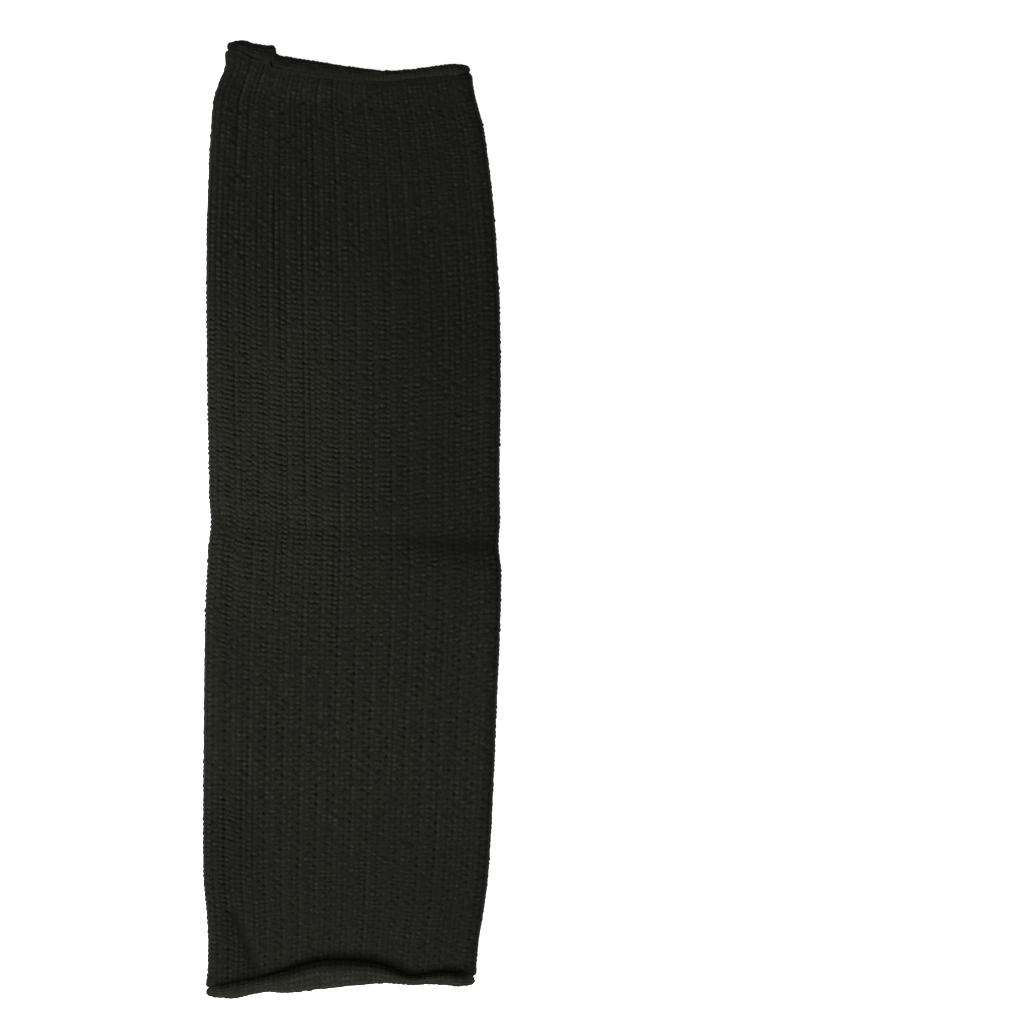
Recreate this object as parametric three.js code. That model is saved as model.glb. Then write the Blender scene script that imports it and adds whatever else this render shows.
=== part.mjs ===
// A cut resistant arm sleeve: one seamless knitted tube, open at both ends and lying flat.
// Both ends of the wall curl outwards, as the raw edge of a plain knit does.
// Units are millimetres. Z is up, X goes across and Y runs along the arm to the wrist.
// The origin is on the surface that the sleeve lies on, under the middle of its outline.

import * as THREE from "three";

// Sizes of the sleeve
const sleeveLength = 355.6;
const sleeveWidth = 111;
const wall = 1.4;
const bodyOpening = 8; // clear height between the two layers, along the body
const mouthOpening = 5.3; // clear height between the two layers, at both mouths
const foldReach = 4; // how far in from its edge each side fold is rounded

// Sizes of the curled ends
const curlHollow = 0.35; // radius of the hollow left inside the tightest curl
const curlSlit = 0.35; // between the raw edge and the wall that it curls back to
const widestCurl = 10.8; // the loosest curl, from the outline to its groove
const wristSag = 11.2; // how far the wrist end's outline dips below its highest point
const armSlant = 7.6; // how far the upper arm end's outline draws in from its lowest point
const curlTuck = 1.8; // how far the wall draws in at each side to make room for its curl
const tuckReach = 3.2;
const liftReach = 34; // length over which a mouth rises onto the curl that is under it
const rimReach = 75; // length over which the rows straighten away from a mouth

// Sizes of the crease across the middle and of the dent near the upper arm end
const creaseDepth = 0.7;
const creaseReach = 11; // from the bottom of the crease to the level wall beside it
const creasePinch = 0.9; // how far the crease draws in the side edges
const dentDepth = 0.7;
const dentReach = 6.5;

// Counts of the mesh
const frontColumns = 22;
const backColumns = 12;
const foldSteps = 7;
const curlSteps = 9;

const deg = Math.PI / 180;
const halfWall = wall / 2;
const halfLength = sleeveLength / 2;
const halfWidth = sleeveWidth / 2;
const curlRadius = halfWall + curlHollow; // the tightest bend, at the middle of the wall

// The side edges. along: share of the length from the middle, left and right: shares of
// half the width from the middle line.
const outlineRows = [
  { along: -0.5, left: 0.972, right: 0.812 },
  { along: -0.473, left: 0.963, right: 0.834 },
  { along: -0.44, left: 0.961, right: 0.858 },
  { along: -0.408, left: 0.972, right: 0.891 },
  { along: -0.377, left: 0.991, right: 0.918 },
  { along: -0.314, left: 0.994, right: 0.946 },
  { along: -0.189, left: 0.987, right: 0.98 },
  { along: -0.095, left: 0.979, right: 1.005 },
  { along: -0.045, left: 0.965, right: 1.01 },
  { along: 0.04, left: 0.955, right: 0.997 },
  { along: 0.125, left: 0.966, right: 1.005 },
  { along: 0.219, left: 0.972, right: 1.0 },
  { along: 0.282, left: 0.971, right: 0.979 },
  { along: 0.345, left: 0.96, right: 0.946 },
  { along: 0.407, left: 0.94, right: 0.892 },
  { along: 0.439, left: 0.921, right: 0.838 },
  { along: 0.46, left: 0.877, right: 0.809 },
  { along: 0.473, left: 0.842, right: 0.798 },
  { along: 0.5, left: 0.828, right: 0.79 },
];

// The ends of the crease and of the dent. across: share of half the width, along: share of
// the length, both from the middle.
const creaseEnds = [
  { across: -1, along: -0.003 },
  { across: 1, along: -0.027 },
];
const dentEnds = [
  { across: -0.8, along: -0.411 },
  { across: -0.675, along: -0.464 },
];

// The outline of the wrist end. across: share of the way from its middle to a side fold,
// sag: share of wristSag, curl: width of the curl as a share of widestCurl.
const wristRows = [
  { across: -1.0, sag: 0.0, curl: 0.44 },
  { across: -0.9, sag: 0.1, curl: 0.54 },
  { across: -0.82, sag: 0.15, curl: 0.58 },
  { across: -0.75, sag: 0.17, curl: 0.58 },
  { across: -0.705, sag: 0.15, curl: 0.56 },
  { across: -0.66, sag: 0.43, curl: 0.52 },
  { across: -0.55, sag: 0.55, curl: 0.5 },
  { across: -0.43, sag: 0.62, curl: 0.5 },
  { across: -0.21, sag: 0.735, curl: 0.48 },
  { across: 0.02, sag: 0.86, curl: 0.46 },
  { across: 0.25, sag: 0.96, curl: 0.42 },
  { across: 0.4, sag: 1.0, curl: 0.36 },
  { across: 0.58, sag: 0.965, curl: 0.33 },
  { across: 0.8, sag: 0.865, curl: 0.36 },
  { across: 1.0, sag: 0.77, curl: 0.38 },
];

// The outline of the upper arm end, in the same columns. slant: share of armSlant.
const armRows = [
  { across: -1.0, slant: 0.03, curl: 0.44 },
  { across: -0.9, slant: 0.0, curl: 0.56 },
  { across: -0.75, slant: 0.2, curl: 0.52 },
  { across: -0.62, slant: 0.31, curl: 0.58 },
  { across: -0.47, slant: 0.27, curl: 0.78 },
  { across: -0.18, slant: 0.44, curl: 1.0 },
  { across: 0.11, slant: 0.62, curl: 0.89 },
  { across: 0.3, slant: 0.72, curl: 0.72 },
  { across: 0.48, slant: 0.72, curl: 0.46 },
  { across: 0.61, slant: 0.66, curl: 0.33 },
  { across: 0.85, slant: 0.67, curl: 0.44 },
  { across: 1.0, slant: 0.58, curl: 0.48 },
];

// Rows of the mesh along the body. end: share of the length where a zone ends.
const zones = [
  { end: -0.4, steps: 6 },
  { end: -0.06, steps: 8 },
  { end: 0.02, steps: 8 },
  { end: 0.4, steps: 8 },
  { end: 0.5, steps: 6 },
];

// Reads a column of a table at a place between its rows, along a smooth curve.
function readTable(rows, key, column, at) {
  const last = rows.length - 1;
  let i = 0;
  while (i < last - 1 && at > rows[i + 1][key]) {
    i += 1;
  }
  const slope = (j) => {
    const low = Math.max(j - 1, 0);
    const high = Math.min(j + 1, last);
    return (rows[high][column] - rows[low][column]) / (rows[high][key] - rows[low][key]);
  };
  const span = rows[i + 1][key] - rows[i][key];
  const t = THREE.MathUtils.clamp((at - rows[i][key]) / span, 0, 1);
  const t2 = t * t;
  const t3 = t2 * t;
  return (
    (2 * t3 - 3 * t2 + 1) * rows[i][column] +
    (t3 - 2 * t2 + t) * span * slope(i) +
    (3 * t2 - 2 * t3) * rows[i + 1][column] +
    (t3 - t2) * span * slope(i + 1)
  );
}

// 1 at a distance of nothing, falling smoothly to 0 at the reach.
function fade(distance, reach) {
  return 1 - THREE.MathUtils.smoothstep(Math.abs(distance), 0, reach);
}

// The points around the tube. across: from -1 to 1 between the side folds. turn: the way
// that the wall faces, 90 degrees up on the front and -90 down on the back.
function makeRing() {
  const ring = [];
  for (let i = 0; i < frontColumns; i += 1) {
    ring.push({ across: -1 + (2 * i) / frontColumns, turn: 90 * deg });
  }
  for (let i = 0; i < foldSteps; i += 1) {
    ring.push({ across: 1, turn: (90 - (180 * i) / foldSteps) * deg });
  }
  for (let i = 0; i < backColumns; i += 1) {
    ring.push({ across: 1 - (2 * i) / backColumns, turn: -90 * deg });
  }
  for (let i = 0; i < foldSteps; i += 1) {
    ring.push({ across: -1, turn: (-90 - (180 * i) / foldSteps) * deg });
  }
  return ring;
}

// The rows along the body, as shares of the length from its middle.
function makeRows() {
  const rows = [-0.5];
  for (const zone of zones) {
    const start = rows[rows.length - 1];
    for (let i = 1; i <= zone.steps; i += 1) {
      rows.push(start + ((zone.end - start) * i) / zone.steps);
    }
  }
  return rows;
}

// The curl at one end, for one point of the ring: its outermost place along Y, and its
// half reach along Y and away from the wall, at the middle of the wall.
function curlAt(end, point) {
  const rows = end > 0 ? wristRows : armRows;
  const drop =
    end > 0
      ? readTable(rows, "across", "sag", point.across) * wristSag
      : readTable(rows, "across", "slant", point.across) * armSlant;
  const frontWidth = readTable(rows, "across", "curl", point.across) * widestCurl;
  const backWidth = 2 * (curlRadius + halfWall);
  const facing = (1 + Math.sin(point.turn)) / 2;
  const width = Math.max(THREE.MathUtils.lerp(backWidth, frontWidth, facing), backWidth);
  const reach = width / 2 - halfWall;
  return {
    edge: end * (halfLength - drop),
    reach,
    height: Math.sqrt(reach * curlRadius),
  };
}

// A place on the front as x and y, from its shares of half the width and of the length.
function placeAt(shares) {
  return new THREE.Vector2(shares.across * halfWidth, shares.along * sleeveLength);
}

// How much a fold between two places is there at x and y, from 0 to 1.
function foldAt(ends, reach, x, y) {
  const [from, to] = ends.map(placeAt);
  const run = to.clone().sub(from);
  const place = new THREE.Vector2(x, y);
  const share = place.clone().sub(from).dot(run) / run.lengthSq();
  const nearest = from.addScaledVector(run, THREE.MathUtils.clamp(share, 0, 1));
  return fade(place.distanceTo(nearest), reach);
}

// The middle of the wall at one point of the ring and one row of the body.
function bodyPoint(point, row) {
  const arm = curlAt(-1, point);
  const wrist = curlAt(1, point);
  const armLine = arm.edge + arm.reach + halfWall;
  const wristLine = wrist.edge - wrist.reach - halfWall;
  const level = row * sleeveLength;
  const armShift = (armLine + halfLength) * fade(level + halfLength, rimReach);
  const wristShift = (wristLine - halfLength) * fade(level - halfLength, rimReach);
  const y = level + armShift + wristShift;

  const fromEnd = Math.min(y - armLine, wristLine - y);
  const along = y / sleeveLength;
  const tuck = curlTuck * fade(fromEnd, tuckReach);
  const left = -readTable(outlineRows, "along", "left", along) * halfWidth;
  const right = readTable(outlineRows, "along", "right", along) * halfWidth;
  const middle = (left + right) / 2;
  const pinch = creasePinch * foldAt(creaseEnds, creaseReach, point.across * halfWidth, y);
  const half = (right - left) / 2 - halfWall - tuck - pinch;
  const x = middle + point.across * (half - foldReach) + foldReach * Math.cos(point.turn);

  const lift = fade(fromEnd, liftReach);
  const back = halfWall + 2 * curlRadius * lift;
  const front = back + wall + THREE.MathUtils.lerp(bodyOpening, mouthOpening, lift);
  const facing = Math.max(Math.sin(point.turn), 0);
  const crease = creaseDepth * foldAt(creaseEnds, creaseReach, x, y);
  const dent = dentDepth * foldAt(dentEnds, dentReach, x, y);
  const relief = Math.max(crease, dent);
  const z = (front + back) / 2 + ((front - back) / 2) * Math.sin(point.turn) - relief * facing;
  return new THREE.Vector3(x, y, z);
}

// The angle at which a curl stops, so that its raw edge stays clear of the wall below.
function curlStop(curl) {
  let angle = 200;
  while (angle < 340) {
    const next = (angle + 1) * deg;
    const bottom = curl.height * (1 - Math.cos(next));
    const normal = new THREE.Vector2(
      curl.height * Math.sin(next),
      -curl.reach * Math.cos(next),
    ).normalize();
    if (bottom + halfWall * Math.min(normal.y, 0) < halfWall + curlSlit) {
      break;
    }
    angle += 1;
  }
  return angle * deg;
}

// The middle of the wall on a curl, from where it leaves the body to its raw edge.
function curlPoints(end, point) {
  const curl = curlAt(end, point);
  const start = bodyPoint(point, end * 0.5);
  const riseX = Math.cos(point.turn) / foldReach;
  const riseZ = Math.sin(point.turn) / ((wall + mouthOpening) / 2);
  const away = new THREE.Vector3(riseX, 0, riseZ).normalize();
  const stop = curlStop(curl);
  const points = [];
  for (let i = 1; i <= curlSteps; i += 1) {
    const angle = (stop * i) / curlSteps;
    const p = start.clone().addScaledVector(away, curl.height * (1 - Math.cos(angle)));
    p.y += end * curl.reach * Math.sin(angle);
    points.push(p);
  }
  return points;
}

// The middle of the wall as a grid: a list of rows, from raw edge to raw edge.
function makeMiddle(ring) {
  const rows = makeRows().map((row) => ring.map((point) => bodyPoint(point, row)));
  const armCurls = ring.map((point) => curlPoints(-1, point));
  const wristCurls = ring.map((point) => curlPoints(1, point));
  for (let i = 0; i < curlSteps; i += 1) {
    rows.unshift(armCurls.map((points) => points[i]));
    rows.push(wristCurls.map((points) => points[i]));
  }
  return rows;
}

// The two faces of the wall, half its thickness to each side of its middle.
function makeFaces(middle) {
  const lastRow = middle.length - 1;
  const count = middle[0].length;
  const outer = [];
  const inner = [];
  for (let i = 0; i <= lastRow; i += 1) {
    outer.push([]);
    inner.push([]);
    for (let j = 0; j < count; j += 1) {
      const along = middle[Math.min(i + 1, lastRow)][j].clone();
      along.sub(middle[Math.max(i - 1, 0)][j]);
      const around = middle[i][(j + 1) % count].clone();
      around.sub(middle[i][(j + count - 1) % count]);
      const normal = along.cross(around).normalize();
      outer[i].push(middle[i][j].clone().addScaledVector(normal, -halfWall));
      inner[i].push(middle[i][j].clone().addScaledVector(normal, halfWall));
    }
  }
  return { outer, inner };
}

// One closed body from the two faces and the raw edges between them.
function makeSleeve() {
  const ring = makeRing();
  const count = ring.length;
  const { outer, inner } = makeFaces(makeMiddle(ring));
  const rowCount = outer.length;
  const positions = [...outer, ...inner].flat().flatMap((p) => [p.x, p.y, p.z]);
  const triangles = [];
  const outerAt = (i, j) => i * count + (j % count);
  const innerAt = (i, j) => (rowCount + i) * count + (j % count);
  const addQuad = (a, b, c, d) => triangles.push(a, b, c, a, c, d);
  for (let j = 0; j < count; j += 1) {
    for (let i = 0; i < rowCount - 1; i += 1) {
      addQuad(outerAt(i, j), outerAt(i, j + 1), outerAt(i + 1, j + 1), outerAt(i + 1, j));
      addQuad(innerAt(i, j), innerAt(i + 1, j), innerAt(i + 1, j + 1), innerAt(i, j + 1));
    }
    const end = rowCount - 1;
    addQuad(outerAt(0, j), innerAt(0, j), innerAt(0, j + 1), outerAt(0, j + 1));
    addQuad(outerAt(end, j), outerAt(end, j + 1), innerAt(end, j + 1), innerAt(end, j));
  }
  const geometry = new THREE.BufferGeometry();
  geometry.setAttribute("position", new THREE.Float32BufferAttribute(positions, 3));
  geometry.setIndex(triangles);
  geometry.computeBoundingBox();
  const middle = geometry.boundingBox.getCenter(new THREE.Vector3());
  geometry.translate(-middle.x, -middle.y, 0);
  geometry.computeVertexNormals();
  return geometry;
}

const knit = new THREE.MeshStandardMaterial({
  name: "charcoal_knit",
  color: 0x20211d,
  roughness: 0.92,
  metalness: 0,
});

const sleeve = new THREE.Group();
sleeve.name = "cut_resistant_sleeve";
const knittedSleeve = new THREE.Mesh(makeSleeve(), knit);
knittedSleeve.name = "knitted_sleeve";
sleeve.add(knittedSleeve);

export default sleeve;
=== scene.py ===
"""A cut resistant arm sleeve: one seamless knitted tube, lying flat, seen from straight above.

The wall follows the same sizes and tables as the part's source. Its knit is real relief on
that wall: columns of loops (wales) run along the sleeve and rows of loops (courses) run
around it. Lengths are in millimetres until a mesh is made, which is in metres.
"""

import math

import bpy
import numpy as np
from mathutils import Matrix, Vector


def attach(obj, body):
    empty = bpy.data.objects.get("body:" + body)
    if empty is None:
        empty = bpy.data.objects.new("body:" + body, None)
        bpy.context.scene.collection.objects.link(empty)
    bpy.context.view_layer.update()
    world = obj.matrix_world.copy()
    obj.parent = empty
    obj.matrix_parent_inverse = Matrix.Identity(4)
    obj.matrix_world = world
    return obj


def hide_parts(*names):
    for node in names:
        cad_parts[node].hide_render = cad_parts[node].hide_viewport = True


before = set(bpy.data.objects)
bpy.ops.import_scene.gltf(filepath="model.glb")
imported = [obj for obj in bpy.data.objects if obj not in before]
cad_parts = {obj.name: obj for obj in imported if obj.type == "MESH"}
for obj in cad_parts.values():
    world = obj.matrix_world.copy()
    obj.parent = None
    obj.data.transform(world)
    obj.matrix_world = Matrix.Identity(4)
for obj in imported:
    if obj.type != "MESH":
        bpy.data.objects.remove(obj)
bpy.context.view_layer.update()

MM = 0.001

# Sizes of the sleeve and of its curled ends, as in the part's source
SLEEVE_LENGTH = 355.6
SLEEVE_WIDTH = 111.0
WALL = 1.4
BODY_OPENING = 8.0
MOUTH_OPENING = 5.3
FOLD_REACH = 4.0
CURL_HOLLOW = 0.35
CURL_SLIT = 0.35
WIDEST_CURL = 10.8
WRIST_SAG = 11.2
ARM_SLANT = 7.6
CURL_TUCK = 1.8
TUCK_REACH = 3.2
LIFT_REACH = 34.0
RIM_REACH = 75.0
CREASE_DEPTH = 0.7
CREASE_REACH = 11.0
CREASE_PINCH = 0.9
DENT_DEPTH = 0.7
DENT_REACH = 6.5

HALF_WALL = WALL / 2
HALF_LENGTH = SLEEVE_LENGTH / 2
HALF_WIDTH = SLEEVE_WIDTH / 2
CURL_RADIUS = HALF_WALL + CURL_HOLLOW

# The side edges, as in the part's source
OUTLINE_COLUMNS = ("along", "left", "right")
OUTLINE_ROWS = (
    (-0.5, 0.972, 0.812),
    (-0.473, 0.963, 0.834),
    (-0.44, 0.961, 0.858),
    (-0.408, 0.972, 0.891),
    (-0.377, 0.991, 0.918),
    (-0.314, 0.994, 0.946),
    (-0.189, 0.987, 0.98),
    (-0.095, 0.979, 1.005),
    (-0.045, 0.965, 1.01),
    (0.04, 0.955, 0.997),
    (0.125, 0.966, 1.005),
    (0.219, 0.972, 1.0),
    (0.282, 0.971, 0.979),
    (0.345, 0.96, 0.946),
    (0.407, 0.94, 0.892),
    (0.439, 0.921, 0.838),
    (0.46, 0.877, 0.809),
    (0.473, 0.842, 0.798),
    (0.5, 0.828, 0.79),
)

# The outlines of the two ends, as in the part's source but for a sharper step beside the
# wrist's tab. draw: how far the outline is drawn in, as a share of WRIST_SAG or ARM_SLANT.
# curl: the curl's width as a share of WIDEST_CURL.
RIM_COLUMNS = ("across", "draw", "curl")
WRIST_ROWS = (
    (-1.0, 0.0, 0.44),
    (-0.9, 0.1, 0.54),
    (-0.82, 0.15, 0.58),
    (-0.75, 0.17, 0.58),
    (-0.722, 0.15, 0.56),
    (-0.698, 0.42, 0.52),
    (-0.55, 0.55, 0.5),
    (-0.43, 0.62, 0.5),
    (-0.21, 0.735, 0.48),
    (0.02, 0.86, 0.46),
    (0.25, 0.96, 0.42),
    (0.4, 1.0, 0.36),
    (0.58, 0.965, 0.33),
    (0.8, 0.865, 0.36),
    (1.0, 0.77, 0.38),
)
ARM_ROWS = (
    (-1.0, 0.03, 0.44),
    (-0.9, 0.0, 0.56),
    (-0.75, 0.2, 0.52),
    (-0.62, 0.31, 0.58),
    (-0.47, 0.27, 0.78),
    (-0.18, 0.44, 1.0),
    (0.11, 0.62, 0.89),
    (0.3, 0.72, 0.72),
    (0.48, 0.72, 0.46),
    (0.61, 0.66, 0.33),
    (0.85, 0.67, 0.44),
    (1.0, 0.58, 0.48),
)

# The ends of the crease and of the dent: share of half the width, share of the length
CREASE_ENDS = ((-1.0, -0.003), (1.0, -0.027))
DENT_ENDS = ((-0.8, -0.411), (-0.675, -0.464))
DENT_LINE_ENDS = ((-0.775, -0.411), (-0.64, -0.466))  # its sharpest line, a little to the right

# The knit
WALES = 105  # columns of loops around the sleeve
COURSES = 196  # rows of loops along the body
CURL_COURSES = 8  # rows of the mesh's own count along each curl
REPEAT = 3  # wales in one repeat: one stands proud, two lie lower
FRONT_WALES = 59  # wales of the front and of both side folds
BOW = 4.0  # how far the courses sag in the middle of the body
BOW_STARTS = (-0.31, -0.05)  # along, as shares of the length, where the sag comes in
BOW_ENDS = (0.25, 0.42)  # and where it goes out


def column(rows, columns, name):
    """One named column of a table, as an array."""
    return np.array([row[columns.index(name)] for row in rows])


def read_table(rows, columns, name, at):
    """A column of a table at places between its rows, along a smooth curve."""
    keys = column(rows, columns, columns[0])
    values = column(rows, columns, name)
    last = len(keys) - 1
    low = np.maximum(np.arange(last + 1) - 1, 0)
    high = np.minimum(np.arange(last + 1) + 1, last)
    slopes = (values[high] - values[low]) / (keys[high] - keys[low])
    i = np.clip(np.searchsorted(keys, at, side="left") - 1, 0, last - 1)
    span = keys[i + 1] - keys[i]
    t = np.clip((at - keys[i]) / span, 0, 1)
    t2 = t * t
    t3 = t2 * t
    return (
        (2 * t3 - 3 * t2 + 1) * values[i]
        + (t3 - 2 * t2 + t) * span * slopes[i]
        + (3 * t2 - 2 * t3) * values[i + 1]
        + (t3 - t2) * span * slopes[i + 1]
    )


def smooth(value, start, stop):
    """0 at start and before, 1 at stop and after, and smooth between."""
    t = np.clip((value - start) / (stop - start), 0, 1)
    return t * t * (3 - 2 * t)


def fade(distance, reach):
    """1 at a distance of nothing, falling smoothly to 0 at the reach."""
    return 1 - smooth(np.abs(distance), 0, reach)


def lerp(low, high, share):
    """From low at a share of 0 to high at a share of 1."""
    return low + (high - low) * share


# Where the wales lie around the sleeve
FLAT_HALF = HALF_WIDTH - HALF_WALL - FOLD_REACH
FOLD_RISE = (WALL + BODY_OPENING) / 2
FOLD_ARC = math.pi * math.sqrt((FOLD_REACH**2 + FOLD_RISE**2) / 2)
RING_LENGTH = 4 * FLAT_HALF + 2 * FOLD_ARC
WALE_PITCH = RING_LENGTH / WALES


def ring_place(wale):
    """The place of a wale on the ring: across, from -1 to 1 between the side folds, and
    turn, the way that the wall faces there."""
    r = (wale - FRONT_WALES / 2) * WALE_PITCH
    r = (r + RING_LENGTH / 2) % RING_LENGTH - RING_LENGTH / 2
    side = np.where(r < 0, -1.0, 1.0)
    r = np.abs(r)
    front = np.minimum(r / FLAT_HALF, 1)
    back = np.minimum((RING_LENGTH / 2 - r) / FLAT_HALF, 1)
    across = side * np.where(r < RING_LENGTH / 4, front, back)
    fold = np.clip((r - FLAT_HALF) / FOLD_ARC, 0, 1)
    turn = math.pi / 2 - side * math.pi * fold
    return across, turn


def curl_at(end, across, turn):
    """The curl at one end: its outermost place along Y, and its half reach along Y and away
    from the wall, at the middle of the wall."""
    rows = WRIST_ROWS if end > 0 else ARM_ROWS
    most = WRIST_SAG if end > 0 else ARM_SLANT
    drop = read_table(rows, RIM_COLUMNS, "draw", across) * most
    front_width = read_table(rows, RIM_COLUMNS, "curl", across) * WIDEST_CURL
    back_width = 2 * (CURL_RADIUS + HALF_WALL)
    facing = (1 + np.sin(turn)) / 2
    width = np.maximum(lerp(back_width, front_width, facing), back_width)
    reach = width / 2 - HALF_WALL
    return end * (HALF_LENGTH - drop), reach, np.sqrt(reach * CURL_RADIUS)


def fold_at(ends, reach, x, y):
    """How much a fold between two places is there at x and y, from 0 to 1."""
    (x0, y0), (x1, y1) = [(a * HALF_WIDTH, b * SLEEVE_LENGTH) for a, b in ends]
    run_x, run_y = x1 - x0, y1 - y0
    share = ((x - x0) * run_x + (y - y0) * run_y) / (run_x**2 + run_y**2)
    share = np.clip(share, 0, 1)
    return fade(np.hypot(x - x0 - share * run_x, y - y0 - share * run_y), reach)


STOP_STEPS = 60  # reaches for which a curl's last angle is worked out
STOP_DEGREES = (201, 341)  # the last angle lies between these


def curl_stops():
    """The angle at which a curl of each reach stops, so that its raw edge stays clear."""
    reaches = np.linspace(CURL_RADIUS, WIDEST_CURL / 2, STOP_STEPS)
    stops = []
    for reach in reaches:
        height = math.sqrt(reach * CURL_RADIUS)
        angles = np.radians(np.arange(*STOP_DEGREES))
        out = np.hypot(height * np.sin(angles), reach * np.cos(angles))
        normal = -reach * np.cos(angles) / out
        bottom = height * (1 - np.cos(angles)) + HALF_WALL * np.minimum(normal, 0)
        blocked = np.nonzero(bottom < HALF_WALL + CURL_SLIT)[0]
        stops.append(angles[max(blocked[0] - 1, 0)])
    return reaches, np.array(stops)


CURL_STOPS = curl_stops()


def bow_at(across, row):
    """How far the courses hang below a straight line, which changes no form."""
    return BOW * (1 - across**2) * smooth(row, *BOW_STARTS) * (1 - smooth(row, *BOW_ENDS))


def end_lines(across, turn):
    """Where the body ends and each curl starts, with the curl's reach and height."""
    arm_edge, arm_reach, arm_height = curl_at(-1, across, turn)
    wrist_edge, wrist_reach, wrist_height = curl_at(1, across, turn)
    arm = (arm_edge + arm_reach + HALF_WALL, arm_reach, arm_height)
    wrist = (wrist_edge - wrist_reach - HALF_WALL, wrist_reach, wrist_height)
    return arm, wrist


def wall_middle(wale, course):
    """The middle of the wall. Courses below 0 are on the upper arm's curl, and courses over
    COURSES are on the wrist's."""
    across, turn = ring_place(wale)
    row = np.clip(course / COURSES, 0, 1) - 0.5
    arm, wrist = end_lines(across, turn)
    arm_line, arm_reach, arm_height = arm
    wrist_line, wrist_reach, wrist_height = wrist
    level = row * SLEEVE_LENGTH
    y = level + (arm_line + HALF_LENGTH) * fade(level + HALF_LENGTH, RIM_REACH)
    y = y + (wrist_line - HALF_LENGTH) * fade(level - HALF_LENGTH, RIM_REACH)
    y = y - bow_at(across, row)

    from_end = np.minimum(y - arm_line, wrist_line - y)
    along = y / SLEEVE_LENGTH
    tuck = CURL_TUCK * fade(from_end, TUCK_REACH)
    left = -read_table(OUTLINE_ROWS, OUTLINE_COLUMNS, "left", along) * HALF_WIDTH
    right = read_table(OUTLINE_ROWS, OUTLINE_COLUMNS, "right", along) * HALF_WIDTH
    pinch = CREASE_PINCH * fold_at(CREASE_ENDS, CREASE_REACH, across * HALF_WIDTH, y)
    half = (right - left) / 2 - HALF_WALL - tuck - pinch
    x = (left + right) / 2 + across * (half - FOLD_REACH) + FOLD_REACH * np.cos(turn)

    lift = fade(from_end, LIFT_REACH)
    back = HALF_WALL + 2 * CURL_RADIUS * lift
    front = back + WALL + lerp(BODY_OPENING, MOUTH_OPENING, lift)
    crease = CREASE_DEPTH * fold_at(CREASE_ENDS, CREASE_REACH, x, y)
    dent = DENT_DEPTH * fold_at(DENT_ENDS, DENT_REACH, x, y)
    relief = np.maximum(crease, dent) * np.maximum(np.sin(turn), 0)
    z = (front + back) / 2 + (front - back) / 2 * np.sin(turn) - relief

    away_x = np.cos(turn) / FOLD_REACH
    away_z = np.sin(turn) / ((WALL + MOUTH_OPENING) / 2)
    away_size = np.hypot(away_x, away_z)
    for end, beyond, reach, height in (
        (-1, -course, arm_reach, arm_height),
        (1, course - COURSES, wrist_reach, wrist_height),
    ):
        stop = np.interp(reach, *CURL_STOPS)
        angle = stop * np.maximum(beyond, 0) / CURL_COURSES
        rise = height * (1 - np.cos(angle)) / away_size
        x = x + away_x * rise
        z = z + away_z * rise
        y = y + end * reach * np.sin(angle)
    return np.stack([x, y, z], axis=-1)


# Uneven knitting: each loop, and each wale along its length, differs a little
SEED = 14
WALE_SPREAD_ROWS = 12  # values along each wale
WAVE_COUNT = 9  # waves that add up to the broad unevenness of the cloth
WAVE_RATES = (0.04, 0.17)  # the slowest and the fastest wave, in radians for each millimetre
FULL_TURN = 2 * math.pi
rng = np.random.default_rng(SEED)
LOOP_SPREAD = rng.normal(0, 1, (COURSES + 2 * CURL_COURSES, WALES))
WALE_SPREAD = rng.normal(0, 1, (WALE_SPREAD_ROWS, WALES))
WAVES = [
    (rng.uniform(*WAVE_RATES), rng.uniform(0, FULL_TURN), rng.uniform(0, FULL_TURN))
    for _ in range(WAVE_COUNT)
]


def loop_spread(wale, course):
    """A value of its own for each loop."""
    i = np.clip(np.floor(course).astype(int) + CURL_COURSES, 0, LOOP_SPREAD.shape[0] - 1)
    return LOOP_SPREAD[i, np.floor(wale).astype(int) % WALES]


def wale_spread(wale, course):
    """A value of its own for each wale, changing slowly along it."""
    steps = WALE_SPREAD.shape[0] - 1
    t = np.clip(course / COURSES, 0, 1) * steps
    i = np.minimum(t.astype(int), steps - 1)
    share = smooth(t - i, 0, 1)
    j = np.floor(wale).astype(int) % WALES
    return lerp(WALE_SPREAD[i, j], WALE_SPREAD[i + 1, j], share)


def soft_waves(x, y):
    """Low, broad unevenness of the cloth, from -1 to 1."""
    total = 0
    for rate, way, start in WAVES:
        total = total + np.sin((x * math.cos(way) + y * math.sin(way)) * rate + start)
    return total / len(WAVES)


# Heights of the knit, in millimetres
COURSE_DEPTH = 0.2  # the hollow between two courses
WALE_DEPTH = 0.18  # the hollow between two wales
TALL_RISE = 0.05  # how far the standing wale of each repeat rises over the other two
HOLE_DEPTH = 0.3  # the deep hole beside each standing wale, once in two courses
DASH_DEPTH = 0.16  # the shallower hollow between the two low wales, half way between the holes
LOOP_SPREAD_HEIGHT = 0.11  # how far one loop differs from another
WALE_SPREAD_HEIGHT = 0.035  # how far one wale differs from another
TOP_RISE = 0.22  # how far the loops stand over the plain wall's face on the front
WAVE_HEIGHT = 0.4  # broad unevenness of the front

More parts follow.
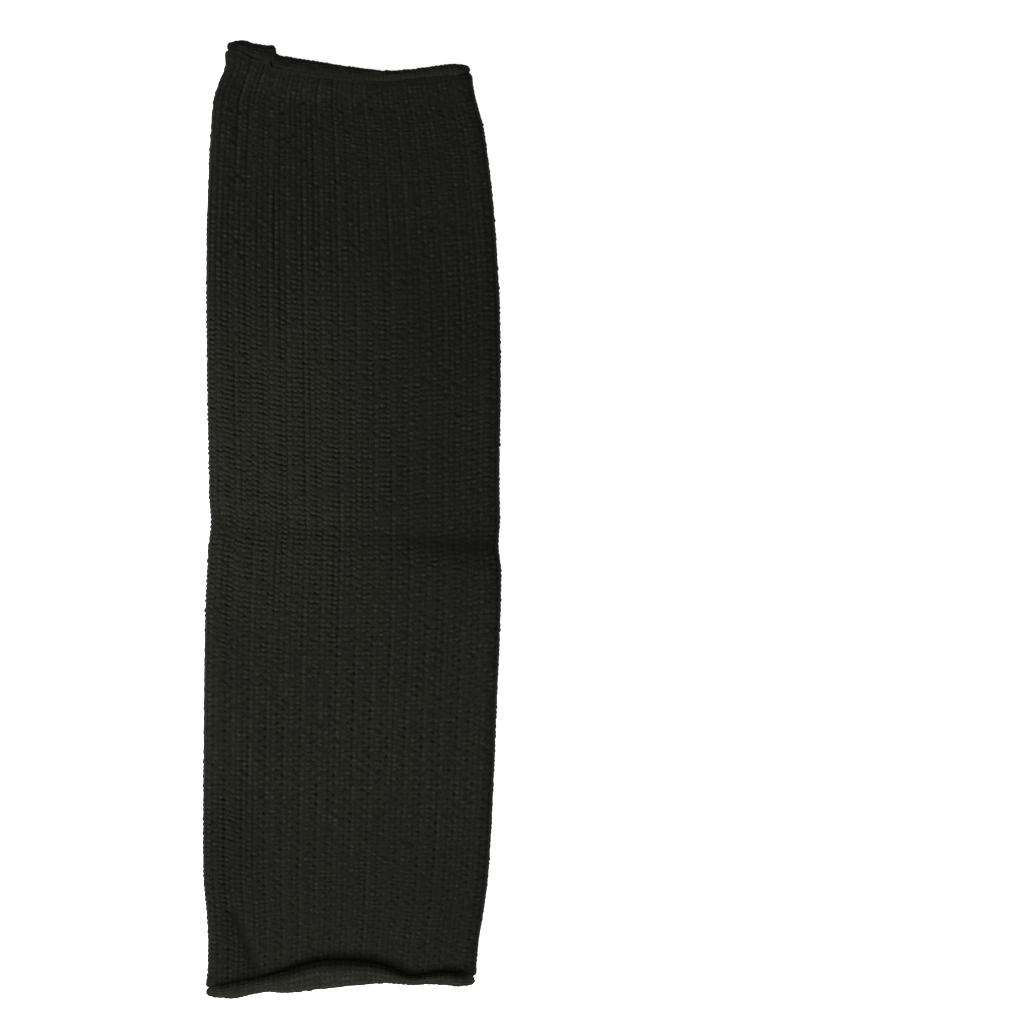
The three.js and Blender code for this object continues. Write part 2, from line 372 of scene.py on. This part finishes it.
# The form of the loops, in courses along and in wales across
SLANT = 0.3  # how far a course drops over one repeat, where it shows as dashes
ARCH = 0.16  # how far the middle of a loop hangs
COURSE_SHIFT = 0.13  # how far a wale's courses stray from level
COURSE_HUMP = 2.4  # the powers of the humps: a higher one has narrower hollows beside it
PAIR_HUMP = 4
WALE_HUMP = 3
PAIRED = 0.4  # how much of a standing wale's hump spans two courses
UNPAIRED = 0.85  # how much of that is lost where the courses show as dashes
HOLE_WIDTH = 0.23  # across, in wales
HOLE_LENGTH = 0.38  # along, in courses
DASH_WIDTHS = (0.24, 0.12)  # across, as shares of a repeat: of a dash, and of a dot
DASH_LENGTHS = (0.2, 0.32)  # along, in courses: of a dash, and of a dot
DASH_PLACE = 2 / 3  # where in each repeat they are

# How uneven the depth of the hollows is
COURSE_UNEVEN = 0.4
WALE_UNEVEN = 0.4
HOLE_UNEVEN = 0.6
DASH_UNEVEN = 0.5

# Where the look of the knit changes, in millimetres: where each change starts and ends
LEFT_TO_RIGHT = (-25, 35)  # across
RIBS_FROM = (40, 120)  # along
DASHES_AT = 35  # along
DASHES_FADE = (30, 110)  # away from there
CORNER_ACROSS = (-48, -22)  # more dashes, at the left edge of the upper arm half
CORNER_ALONG = (-120, -80)
DOTS_FADE = (-90, 20)  # along
ARM_FADE = (-140, -90)  # along, for the softer and darker cloth of the upper arm end
RIBS_AT_RIGHT = 0.4  # shares of what there is at the left
DASHES_AT_RIGHT = 0.35
CORNER_DASHES = 0.8
RIGHT_SOFTER = 0.34  # how much relief is lost at the right of the wrist half
ARM_SOFTER = 0.2  # how much is lost at the upper arm end


def region_weights(x, y):
    """Where the ribs stand out (wrist half, left), where the courses show as slanted dashes
    (middle, left) and where the holes show as dots (upper arm half)."""
    left = 1 - smooth(x, *LEFT_TO_RIGHT)
    ribs = smooth(y, *RIBS_FROM) * lerp(RIBS_AT_RIGHT, 1, left)
    dashes = (1 - smooth(np.abs(y - DASHES_AT), *DASHES_FADE)) * lerp(DASHES_AT_RIGHT, 1, left)
    corner = (1 - smooth(x, *CORNER_ACROSS)) * (1 - smooth(y, *CORNER_ALONG))
    dots = 1 - smooth(y, *DOTS_FADE)
    return ribs, dashes + CORNER_DASHES * corner, dots


def weigh(regions, plain, ribs=0, dashes=0, dots=0):
    """A share that is plain away from the regions, with what each region adds to it."""
    in_ribs, in_dashes, in_dots = regions
    return plain + ribs * in_ribs + dashes * in_dashes + dots * in_dots


def hump(phase, power):
    """0 at whole numbers and 1 half way between them, with narrow hollows."""
    return 1 - np.abs(2 * (phase - np.floor(phase)) - 1) ** power


def bell(distance, width):
    """1 at a distance of nothing, falling off smoothly around the width."""
    return np.exp(-((distance / width) ** 2))


def loops_height(wale, course, place, regions):
    """The loops, with the hollows between their wales and between their courses."""
    standing = np.floor(wale) % REPEAT == 0
    loop = hump(place, COURSE_HUMP)
    pair = hump(place / 2, PAIR_HUMP)
    across = hump(wale, WALE_HUMP)
    _, dashes, _ = regions
    paired = PAIRED * (1 - UNPAIRED * np.minimum(dashes, 1))
    row = np.where(standing, lerp(loop, pair, paired), loop)

    uneven = np.maximum(1 + COURSE_UNEVEN * loop_spread(wale, np.round(place) + 0.5), 0)
    depth = COURSE_DEPTH * weigh(regions, 0.6, dashes=1.1) * weigh(regions, 1, ribs=-0.4)
    height = -depth * uneven * (1 - row)
    uneven = 1 + WALE_UNEVEN * wale_spread(np.round(wale) + 0.5, course)
    depth = WALE_DEPTH * weigh(regions, 0.5, ribs=0.9, dashes=0.7, dots=0.3)
    height -= depth * uneven * (1 - across)

    height += np.where(standing, TALL_RISE * weigh(regions, 0.6, ribs=0.6) * across, 0)
    spread = weigh(regions, 1, ribs=0.18) * loop_spread(wale, place) * loop
    height += LOOP_SPREAD_HEIGHT * spread * across
    spread = weigh(regions, 0.6, ribs=0.35) * wale_spread(wale, course)
    return height + WALE_SPREAD_HEIGHT * spread * across


def holes_depth(wale, place, in_repeat, regions):
    """The deep holes beside the standing wales, and the dashes or dots between them."""
    _, _, dots = regions
    gap = np.round(wale)
    past_hole = (place / 2 - np.round(place / 2)) * 2
    hole = bell(wale - gap, HOLE_WIDTH) * bell(past_hole, HOLE_LENGTH)
    uneven = np.maximum(1 + HOLE_UNEVEN * loop_spread(gap + 0.5, place / 2), 0)
    depth = HOLE_DEPTH * weigh(regions, 0.45, dots=0.45) * uneven * hole
    depth = np.where(gap % REPEAT == 0, depth, 0)

    past_dash = (place / 2 - 0.5 - np.round(place / 2 - 0.5)) * 2
    dash = bell(past_dash, lerp(*DASH_LENGTHS, dots))
    dash = dash * bell(in_repeat - DASH_PLACE, lerp(*DASH_WIDTHS, dots))
    uneven = np.maximum(1 + DASH_UNEVEN * loop_spread(gap + 0.5, place / 2 + 0.5), 0)
    return depth + DASH_DEPTH * weigh(regions, 0.5, dashes=0.6, dots=0.7) * uneven * dash


def knit_height(wale, course, x, y):
    """The relief of the knit's face, in millimetres, down from the tops of the low loops."""
    regions = region_weights(x, y)
    ribs, dashes, _ = regions
    in_repeat = wale / REPEAT - np.floor(wale / REPEAT)
    slant = SLANT * dashes * (0.5 - in_repeat)
    arch = ARCH * (1 - (2 * (wale - np.floor(wale)) - 1) ** 2)
    place = course - slant + arch + COURSE_SHIFT * wale_spread(wale, course)
    height = loops_height(wale, course, place, regions)
    height = height - holes_depth(wale, place, in_repeat, regions)
    softer = RIGHT_SOFTER * ribs * smooth(x, *LEFT_TO_RIGHT)
    return height * (1 - softer - ARM_SOFTER * (1 - smooth(y, *ARM_FADE)))


# The curls, in millimetres
CURL_LINE = 0.32  # the lines along a curl, where the back of the knit shows
CURL_LINE_COUNT = 1.25  # lines for each of the mesh's courses on a curl
CURL_LINE_WAVE = 0.2  # how far a line wanders at each wale, as a share of a line
CURL_BUMPS = 0.3  # how much a line's height changes at each wale
CURL_UNEVEN = 0.45  # how much it differs from loop to loop
CURL_SINK = 0.2  # how far a curl's hollows lie under its plain face
CURL_SIDE_SINK = 0.45  # how far a curl is drawn in at the side folds


def curl_height(wale, course):
    """The relief of a curl, which shows the back of the knit: fine wavy lines along it."""
    swing = np.cos(FULL_TURN * wale)
    ridge = np.abs(np.sin(math.pi * (course * CURL_LINE_COUNT + CURL_LINE_WAVE * swing)))
    bumps = 1 - CURL_BUMPS + CURL_BUMPS * swing
    uneven = 1 + CURL_UNEVEN * loop_spread(wale, course)
    return CURL_LINE * ridge * bumps * uneven - CURL_SINK


def wall_face(wale, course, side, relief):
    """The outer (side 1) or inner (side -1) face of the wall: its points, the way it faces
    and its tone. The grid that is given reaches two steps past the face that comes back."""
    middle = wall_middle(wale, course)
    normal = side * facing(middle)
    middle = middle[1:-1, 1:-1]
    height, tone = relief(wale[1:-1, 1:-1], course[1:-1, 1:-1], middle)
    face = middle + normal * (HALF_WALL + height)[..., None]
    face[..., 2] = np.maximum(face[..., 2], 0)
    return face[1:-1, 1:-1], side * facing(face), tone[1:-1, 1:-1]


def facing(points):
    """The outward direction at each point of a grid, but for its outermost points."""
    around = points[1:-1, 2:] - points[1:-1, :-2]
    along = points[2:, 1:-1] - points[:-2, 1:-1]
    normal = np.cross(around, along)
    return normal / np.maximum(np.linalg.norm(normal, axis=-1, keepdims=True), 1e-9)


# Tones, as heights of the knit: painted light and shade, how much lighter or darker the cloth
# is in places
MIDDLE_TONE = (0.16, -0.15)  # painted light and shade in the middle of the sleeve: lighter on the left, darker on the right
ENDS_TONE = (0.03, 0.08)  # painted shade: darker away from the middle, on the left and on the right
WRIST_TONE = 0.1  # painted shade: darker towards the wrist
ARM_TONE = 0.11  # painted shade: darker at the upper arm end
CREASE_TONE = 0.14  # painted shade: darker around the crease, at its right end
MIDDLE_AT = 30  # along, in millimetres
MIDDLE_FADE = (30, 90)  # away from there
WRIST_FROM = (30, 110)  # along
CREASE_RIGHT = (15, 45)  # across
PLAIN_TONE = -0.02  # the tone of cloth that shows no relief
ARM_CURL_TONE = 0.24  # painted light: how much lighter the upper arm's curl is
WRIST_CURL_TONE = (-0.02, 0.12)  # painted light on the wrist's, on the left and on the right
WRIST_CURL_CHANGE = (-0.2, 0.5)  # across, as shares, where it changes from left to right
CURL_EDGE_TONE = 0.48  # painted shade: how much darker the upper arm's curl is at its groove
CURL_EDGE = (0.655, 0.8)  # where on the curl that starts and ends, as shares of its length

# Beside the curls, in millimetres; places across are shares from -1 to 1
PLAIN_REACH = 4.0  # the length over which the knit's relief comes in
GROOVE_DIP = 0.5  # how far the front sinks beside the upper arm's curl
GROOVE_TONE = 0.15  # painted shadow: how much darker the cloth is there
DIP_REACH = 6.2
DIP_FROM = (-0.95, -0.35)  # across, where the dip gets to its full depth
DIP_AT_LEFT = 0.3  # how much of it there is at the left
GROOVE_FILL = 1.8  # how far the cloth bulges up to the wrist's curl and fills its groove
FILL_START = (-1.3, -0.6)  # under the curl's edge, where the fill starts
FILL_REACH = 11.0
FILL_FADE = (0.0, 0.45)  # across, where the fill gets lower
FILL_AT_RIGHT = 0.25  # how much of it there is at the right
FILL_TONE = 0.3  # painted light against the groove's shade: how much lighter the cloth is where it meets the curl
FILL_TONE_REACH = 1.4
SIDE_FILL = 0.5  # how far it bulges at the side folds, so that no notch shows beside a curl
SIDE_START = (-0.2, 0.4)
SIDE_REACH = 6.0
FOLD_FACING = (-0.9, -0.2)  # how far up the wall faces where a side fold starts, from below

# The sharper lines in the bottom of the crease and of the dent, in millimetres
CREASE_LINE = 0.24
CREASE_LINE_REACH = 5.6
# painted shade: how much darker the bottom of the crease is
CREASE_LINE_TONE = 0.2
CREASE_FROM = (5, 42)  # across, where the crease gets sharp
CREASE_AT_LEFT = 0.2  # how sharp it is at the left
CREASE_PLAIN = 0.5  # how much of the knit's relief is lost in it
DENT_LINE = 0.42
DENT_LINE_REACH = 3.2
# painted shade: how much darker the bottom of the dent is
DENT_LINE_TONE = 0.24
DENT_PLAIN = 0.7  # and in the dent


def painted_broad_shade(x, y):
    """Painted light and shade over the sleeve: greyest in the middle on the left, and darkest
    towards the wrist."""
    right = smooth(x, *LEFT_TO_RIGHT)
    middle = 1 - smooth(np.abs(y - MIDDLE_AT), *MIDDLE_FADE)
    wrist = smooth(y, *WRIST_FROM)
    arm = 1 - smooth(y, *ARM_FADE)
    crease = fold_at(CREASE_ENDS, 3 * CREASE_LINE_REACH, x, y) * smooth(x, *CREASE_RIGHT)
    tone = middle * lerp(*MIDDLE_TONE, right) - (1 - middle) * lerp(*ENDS_TONE, right)
    return tone - WRIST_TONE * wrist - ARM_TONE * arm - CREASE_TONE * crease


def fold_share(turn):
    """How much the wall belongs to a side fold, from 0 on the front and the underside to 1."""
    return np.cos(turn) ** 2 * smooth(np.sin(turn), *FOLD_FACING)


def body_relief(wale, course, middle):
    """The relief of the body's outer face, and its tone: the relief of the knit alone, which
    colours it with painted shade in its hollows. The knit fades out beside the plainer
    curls."""
    x, y = middle[..., 0], middle[..., 1]
    across, turn = ring_place(wale)
    (arm_line, arm_reach, _), (wrist_line, wrist_reach, _) = end_lines(across, turn)
    arm_groove = arm_reach + HALF_WALL
    wrist_groove = wrist_reach + HALF_WALL
    past_arm = y - arm_line - arm_groove
    past_wrist = wrist_line - y - wrist_groove
    plain = smooth(past_arm, -arm_groove, PLAIN_REACH)
    plain = plain * smooth(past_wrist, -wrist_groove, PLAIN_REACH)
    front = np.maximum(np.sin(turn), 0)

    knit_only = knit_height(wale, course, x, y) + TOP_RISE * front
    # the tone: painted shade in the knit's hollows, with painted light and shade over the
    # sleeve
    tone = lerp(PLAIN_TONE, knit_only, plain) + painted_broad_shade(x, y)
    height = (knit_only + WAVE_HEIGHT * soft_waves(x, y) * front) * plain

    dip = smooth(past_arm, -arm_groove, 0) * fade(np.maximum(past_arm, 0), DIP_REACH)
    dip = dip * front * lerp(DIP_AT_LEFT, 1, smooth(across, *DIP_FROM))
    height -= GROOVE_DIP * dip
    tone -= GROOVE_TONE * dip
    full = front * lerp(1, FILL_AT_RIGHT, smooth(across, *FILL_FADE))
    bulge = smooth(past_wrist, *FILL_START) * fade(np.maximum(past_wrist, 0), FILL_REACH)
    height += GROOVE_FILL * full * bulge
    tone += FILL_TONE * full * fade(past_wrist, FILL_TONE_REACH)
    for past in (past_arm, past_wrist):
        bulge = smooth(past, *SIDE_START) * fade(np.maximum(past, 0), SIDE_REACH)
        height += SIDE_FILL * fold_share(turn) * bulge

    crease = fold_at(CREASE_ENDS, CREASE_LINE_REACH, x, y) * front
    crease = crease * lerp(CREASE_AT_LEFT, 1, smooth(x, *CREASE_FROM))
    dent = fold_at(DENT_LINE_ENDS, DENT_LINE_REACH, x, y) * front
    height = height * (1 - CREASE_PLAIN * crease) * (1 - DENT_PLAIN * dent)
    height = height - CREASE_LINE * crease - DENT_LINE * dent
    tone = lerp(tone, PLAIN_TONE, CREASE_PLAIN * crease + DENT_PLAIN * dent)
    tone = tone - CREASE_LINE_TONE * crease - DENT_LINE_TONE * dent
    on_body = (course >= 0) & (course <= COURSES)
    return height * on_body, np.where(on_body, tone, PLAIN_TONE)


def inner_relief(wale, course, middle):
    """The relief and tone of the inner face, which is plain but for the curls that show it. Its
    tone is painted light and shade: darker in the hollows, lighter on the curls, and darker at
    the upper arm curl's groove.
    """
    across, turn = ring_place(wale)
    beyond = np.maximum(-course, course - COURSES)
    height = curl_height(wale, course) - CURL_SIDE_SINK * fold_share(turn)
    height = height * smooth(beyond, 0, 1)
    edge = smooth(-course / CURL_COURSES, *CURL_EDGE) * smooth(across, *DIP_FROM)
    wrist_tone = lerp(*WRIST_CURL_TONE, smooth(across, *WRIST_CURL_CHANGE))
    lighter = np.where(course < COURSES / 2, ARM_CURL_TONE, wrist_tone)
    return height, height + lighter - CURL_EDGE_TONE * edge


def no_relief(wale, course, middle):
    """The plain wall, as the part's source has it."""
    return 0 * wale, 0 * wale


def rows_between(first, last, per_course, per_curl_course):
    """The courses at which a face has rows of points, from first to last."""
    rows = []
    for start, stop, per in (
        (-CURL_COURSES, 0, per_curl_course),
        (0, COURSES, per_course),
        (COURSES, COURSES + CURL_COURSES, per_curl_course),
    ):
        start, stop = max(start, first), min(stop, last)
        rows.append(start + np.arange(max(stop - start, 0) * per) / per)
    return np.append(np.concatenate(rows), last)


def grid(first_wale, last_wale, per_wale, rows):
    """The places of a face's points, with two more steps past each edge."""
    columns = np.arange(-2, (last_wale - first_wale) * per_wale + 3) / per_wale
    before = rows[0] - (rows[1] - rows[0]) * np.array([2, 1])
    after = rows[-1] + (rows[-1] - rows[-2]) * np.array([1, 2])
    return np.meshgrid(columns + first_wale, np.concatenate([before, rows, after]))


def strip(outer, outer_at, inner, inner_at, flip):
    """The triangles between the edges of the two faces, whose points need not pair up."""
    made = []
    i = j = 0
    while i < len(outer) - 1 or j < len(inner) - 1:
        inner_done = j == len(inner) - 1
        if inner_done or (i < len(outer) - 1 and outer_at[i + 1] <= inner_at[j + 1]):
            made.append((outer[i], outer[i + 1], inner[j]))
            i += 1
        else:
            made.append((outer[i], inner[j + 1], inner[j]))
            j += 1
    made = np.array(made)
    return made[:, ::-1] if flip else made


def quads(index, flip):
    """The four-sided faces of a grid of points."""
    a, b = index[:-1, :-1], index[:-1, 1:]
    c, d = index[1:, 1:], index[1:, :-1]
    made = np.stack([a, b, c, d], axis=-1).reshape(-1, 4)
    return made[:, ::-1] if flip else made


# Counts of the mesh: points for each wale, for each course, and for each course of a curl
FRONT_COUNTS = (4, 6, 6)
BACK_COUNTS = (3, 3, 6)
HIDDEN_PER_COURSE = 1  # the inner face of the body
HIDDEN_PER_CURL_COURSE = 2  # the outer face of a curl

# The brownish end of a thread, in the upper arm's curl at the right side fold
THREAD_END = (45.6, -170.2, 11.0)
THREAD_REACH = 5.5


def add_patch(name, wales, courses, per_wale, per_course, per_curl_course, material):
    """One closed piece of the wall between two wales and two courses. Its outer face is
    fine on the body and its inner face is fine on the curls, because those faces show."""
    outer_rows = rows_between(*courses, per_course, HIDDEN_PER_CURL_COURSE)
    inner_rows = rows_between(*courses, HIDDEN_PER_COURSE, per_curl_course)
    outer = wall_face(*grid(*wales, per_wale, outer_rows), 1, body_relief)
    inner = wall_face(*grid(*wales, per_wale, inner_rows), -1, inner_relief)
    outer_index = np.arange(outer[2].size).reshape(outer[2].shape)
    inner_index = np.arange(inner[2].size).reshape(inner[2].shape) + outer_index.size
    columns = np.arange(outer_index.shape[1])
    four = np.vstack([quads(outer_index, False), quads(inner_index, True)])
    three = np.vstack(
        [
            strip(outer_index[0], columns, inner_index[0], columns, True),
            strip(outer_index[-1], columns, inner_index[-1], columns, False),
            strip(outer_index[:, 0], outer_rows, inner_index[:, 0], inner_rows, False),
            strip(outer_index[:, -1], outer_rows, inner_index[:, -1], inner_rows, True),
        ]
    )
    points = np.vstack([outer[0].reshape(-1, 3), inner[0].reshape(-1, 3)])
    points = (points - np.array([*MIDDLE, 0])) * MM
    normals = np.vstack([outer[1].reshape(-1, 3), inner[1].reshape(-1, 3)])
    tones = np.concatenate([outer[2].ravel(), inner[2].ravel()])

    mesh = bpy.data.meshes.new(name)
    mesh.vertices.add(len(points))
    mesh.vertices.foreach_set("co", points.astype(np.float32).ravel())
    corners = np.concatenate([four.ravel(), three.ravel()])
    starts = np.append(np.arange(len(four)) * 4, four.size + np.arange(len(three)) * 3)
    mesh.loops.add(len(corners))
    mesh.loops.foreach_set("vertex_index", corners.astype(np.int32))
    mesh.polygons.add(len(starts))
    mesh.polygons.foreach_set("loop_start", starts.astype(np.int32))
    mesh.update(calc_edges=True)
    mesh.polygons.foreach_set("use_smooth", np.ones(len(starts), bool))
    mesh.normals_split_custom_set_from_vertices(normals.astype(np.float32))
    # tone: painted light and shade, which the material turns into colour
    tone = mesh.attributes.new("tone", "FLOAT", "POINT")
    tone.data.foreach_set("value", tones.astype(np.float32))
    from_thread = np.linalg.norm(points / MM - np.array(THREAD_END), axis=1)
    thread = mesh.attributes.new("thread", "FLOAT", "POINT")
    thread.data.foreach_set("value", fade(from_thread, THREAD_REACH).astype(np.float32))
    mesh.materials.append(material)
    piece = bpy.data.objects.new(name, mesh)
    bpy.context.scene.collection.objects.link(piece)
    return piece


def find_middle():
    """The middle of the plain wall's outline, which the part's source puts at the origin."""
    per = 2  # points for each wale and for each course
    places = grid(0, WALES, per, rows_between(-CURL_COURSES, COURSES + CURL_COURSES, per, per))
    points = [wall_face(*places, side, no_relief)[0] for side in (1, -1)]
    points = np.concatenate(points).reshape(-1, 3)
    return (points[:, :2].min(0) + points[:, :2].max(0)) / 2


MIDDLE = find_middle()

# The yarn. Colours are linear and noise scales are for each metre.
TONE_SPAN = (-0.65, 0.35)  # the tones at the two ends of the colour ramp
YARN_RAMP = (
    (0.0, (0.0011, 0.00116, 0.00085)),
    (0.4, (0.0032, 0.00338, 0.00235)),
    (0.75, (0.0068, 0.0072, 0.005)),
    (1.0, (0.0115, 0.0121, 0.0086)),
)
THREAD_COLOUR = (0.0165, 0.0122, 0.0095, 1)
SHEEN_COLOUR = (0.8, 0.82, 0.78, 1)
FIBRE_SCALE = 1900
CLOUD_SCALE = 22
MELANGE = (2.4, -0.2)  # how the noise of the fibres changes the colour: its gain and offset
CLOUDING = (0.2, 0.9)  # and the broad noise
ROUGHNESS = (0.74, 0.96)
BUMP_HEIGHT = 0.00012


def new_material(name):
    """A new material, and its shader."""
    material = bpy.data.materials.new(name)
    material.use_nodes = True
    return material, material.node_tree.nodes["Principled BSDF"]


def add_ramp(tree, source, stops):
    """A colour ramp over the source. stops: (place, colour) pairs."""
    node = tree.nodes.new("ShaderNodeValToRGB")
    elements = node.color_ramp.elements
    while len(elements) > 1:
        elements.remove(elements[-1])
    elements[0].position, elements[0].color = stops[0][0], (*stops[0][1], 1)
    for place, colour in stops[1:]:
        elements.new(place).color = (*colour, 1)
    tree.links.new(source, node.inputs["Fac"])
    return node.outputs["Color"]


def add_attribute(tree, name):
    """The value that the mesh holds under this name at each of its points."""
    node = tree.nodes.new("ShaderNodeAttribute")
    node.attribute_name = name
    return node.outputs["Fac"]


def add_noise(tree, place, scale, detail):
    """Noise over the place, from 0 to 1."""
    node = tree.nodes.new("ShaderNodeTexNoise")
    node.inputs["Scale"].default_value = scale
    node.inputs["Detail"].default_value = detail
    tree.links.new(place, node.inputs["Vector"])
    return node.outputs["Fac"]


def add_map(tree, source, from_span, to_span):
    """The source, with one span of its values spread over another."""
    node = tree.nodes.new("ShaderNodeMapRange")
    node.inputs["From Min"].default_value, node.inputs["From Max"].default_value = from_span
    node.inputs["To Min"].default_value, node.inputs["To Max"].default_value = to_span
    tree.links.new(source, node.inputs["Value"])
    return node.outputs["Result"]


def add_gain(tree, source, gain, offset):
    """The source times the gain, plus the offset."""
    node = tree.nodes.new("ShaderNodeMath")
    node.operation = "MULTIPLY_ADD"
    node.inputs[1].default_value = gain
    node.inputs[2].default_value = offset
    tree.links.new(source, node.inputs[0])
    return node.outputs["Value"]


def add_colour_mix(tree, blend_type):
    """A node that mixes two colours, A and B."""
    node = tree.nodes.new("ShaderNodeMix")
    node.data_type = "RGBA"
    node.blend_type = blend_type
    return node


def knit_material():
    """Charcoal yarn, with painted shade and light: darker in the hollows of the knit and greyer
    on its tops, with a melange of its fibres and a fine bump of twisted filaments."""
    material, shader = new_material("charcoal_knit")
    shader.inputs["Specular IOR Level"].default_value = 0.035
    shader.inputs["Sheen Weight"].default_value = 0.01
    shader.inputs["Sheen Roughness"].default_value = 0.5
    shader.inputs["Sheen Tint"].default_value = SHEEN_COLOUR
    tree = material.node_tree

    place = tree.nodes.new("ShaderNodeTexCoord").outputs["Object"]
    fibres = add_noise(tree, place, FIBRE_SCALE, 3)
    patches = add_noise(tree, place, CLOUD_SCALE, 2)
    shade = tree.nodes.new("ShaderNodeMath")
    shade.operation = "MULTIPLY"
    tree.links.new(add_gain(tree, fibres, *MELANGE), shade.inputs[0])
    tree.links.new(add_gain(tree, patches, *CLOUDING), shade.inputs[1])

    tone = add_map(tree, add_attribute(tree, "tone"), TONE_SPAN, (0, 1))
    yarn = add_colour_mix(tree, "MULTIPLY")
    yarn.inputs["Factor"].default_value = 1
    tree.links.new(add_ramp(tree, tone, YARN_RAMP), yarn.inputs["A"])
    tree.links.new(shade.outputs["Value"], yarn.inputs["B"])

    tinted = add_colour_mix(tree, "MIX")
    tinted.inputs["B"].default_value = THREAD_COLOUR
    tree.links.new(add_attribute(tree, "thread"), tinted.inputs["Factor"])
    tree.links.new(yarn.outputs["Result"], tinted.inputs["A"])
    tree.links.new(tinted.outputs["Result"], shader.inputs["Base Color"])
    tree.links.new(add_map(tree, fibres, (0, 1), ROUGHNESS), shader.inputs["Roughness"])

    bump = tree.nodes.new("ShaderNodeBump")
    bump.inputs["Strength"].default_value = 0.5
    bump.inputs["Distance"].default_value = BUMP_HEIGHT
    tree.links.new(fibres, bump.inputs["Height"])
    tree.links.new(bump.outputs["Normal"], shader.inputs["Normal"])
    return material


def floor_material():
    """A pale floor with a glow of its own, which keeps it white beside the sleeve."""
    material, shader = new_material("pale_floor")
    shader.inputs["Base Color"].default_value = (0.94, 0.94, 0.94, 1)
    shader.inputs["Emission Color"].default_value = (1, 1, 1, 1)
    shader.inputs["Emission Strength"].default_value = 0.75
    shader.inputs["Roughness"].default_value = 0.9
    shader.inputs["Specular IOR Level"].default_value = 0.1
    return material


# The sleeve: pieces of the front with both side folds, and pieces of the underside
knit = knit_material()
FRONT = (0, FRONT_WALES)
UNDER = (FRONT_WALES, WALES)
QUARTER = COURSES // 4
ARM_EDGE = -CURL_COURSES
WRIST_EDGE = COURSES + CURL_COURSES
PIECES = (
    ("knit_front_arm", FRONT, (ARM_EDGE, QUARTER), FRONT_COUNTS),
    ("knit_front_elbow", FRONT, (QUARTER, 2 * QUARTER), FRONT_COUNTS),
    ("knit_front_forearm", FRONT, (2 * QUARTER, 3 * QUARTER), FRONT_COUNTS),
    ("knit_front_wrist", FRONT, (3 * QUARTER, WRIST_EDGE), FRONT_COUNTS),
    ("knit_back_arm", UNDER, (ARM_EDGE, 2 * QUARTER), BACK_COUNTS),
    ("knit_back_wrist", UNDER, (2 * QUARTER, WRIST_EDGE), BACK_COUNTS),
)
for name, wales, courses, counts in PIECES:
    piece = add_patch(name, wales, courses, *counts, knit)
    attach(piece, "root")
    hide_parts("knitted_sleeve")

# The stage, the light and the camera
FLOOR_HALF = 3.0
floor_mesh = bpy.data.meshes.new("pale_floor")
floor_mesh.from_pydata(
    [
        (-FLOOR_HALF, -FLOOR_HALF, 0),
        (FLOOR_HALF, -FLOOR_HALF, 0),
        (FLOOR_HALF, FLOOR_HALF, 0),
        (-FLOOR_HALF, FLOOR_HALF, 0),
    ],
    [],
    [(0, 1, 2, 3)],
)
floor = bpy.data.objects.new("pale_floor", floor_mesh)
bpy.context.scene.collection.objects.link(floor)
floor_mesh.materials.append(floor_material())


def add_area_light(name, place, size, energy):
    """A soft square light that looks at the middle of the sleeve."""
    data = bpy.data.lights.new(name, "AREA")
    data.size = size
    data.energy = energy
    light = bpy.data.objects.new(name, data)
    light.location = place
    light.rotation_euler = (-Vector(place)).to_track_quat("-Z", "Y").to_euler()
    bpy.context.scene.collection.objects.link(light)


add_area_light("key_light", place=(-0.55, -0.8, 0.55), size=0.45, energy=20)
add_area_light("overhead_light", place=(-0.1, -0.7, 1.75), size=1.4, energy=34)
world = bpy.data.worlds.new("soft_room")
world.use_nodes = True
room = world.node_tree.nodes["Background"]
room.inputs["Color"].default_value = (1, 1, 1, 1)
room.inputs["Strength"].default_value = 0.45
bpy.context.scene.world = world

# The photograph's frame, in metres: its width at the sleeve, and the place of its middle
FRAME_WIDTH = 0.3802
FRAME_MIDDLE = (0.0594, 0.0028)
FRAME_HEIGHT = 0.009
LENS = 200  # both in millimetres
SENSOR = 36
camera_data = bpy.data.cameras.new("camera")
camera_data.lens = LENS
camera_data.sensor_width = SENSOR
camera_data.clip_start = 0.01
camera = bpy.data.objects.new("camera", camera_data)
camera.location = (*FRAME_MIDDLE, FRAME_HEIGHT + FRAME_WIDTH * LENS / SENSOR)
bpy.context.scene.collection.objects.link(camera)
bpy.context.scene.camera = camera
bpy.context.scene.view_settings.view_transform = "Standard"
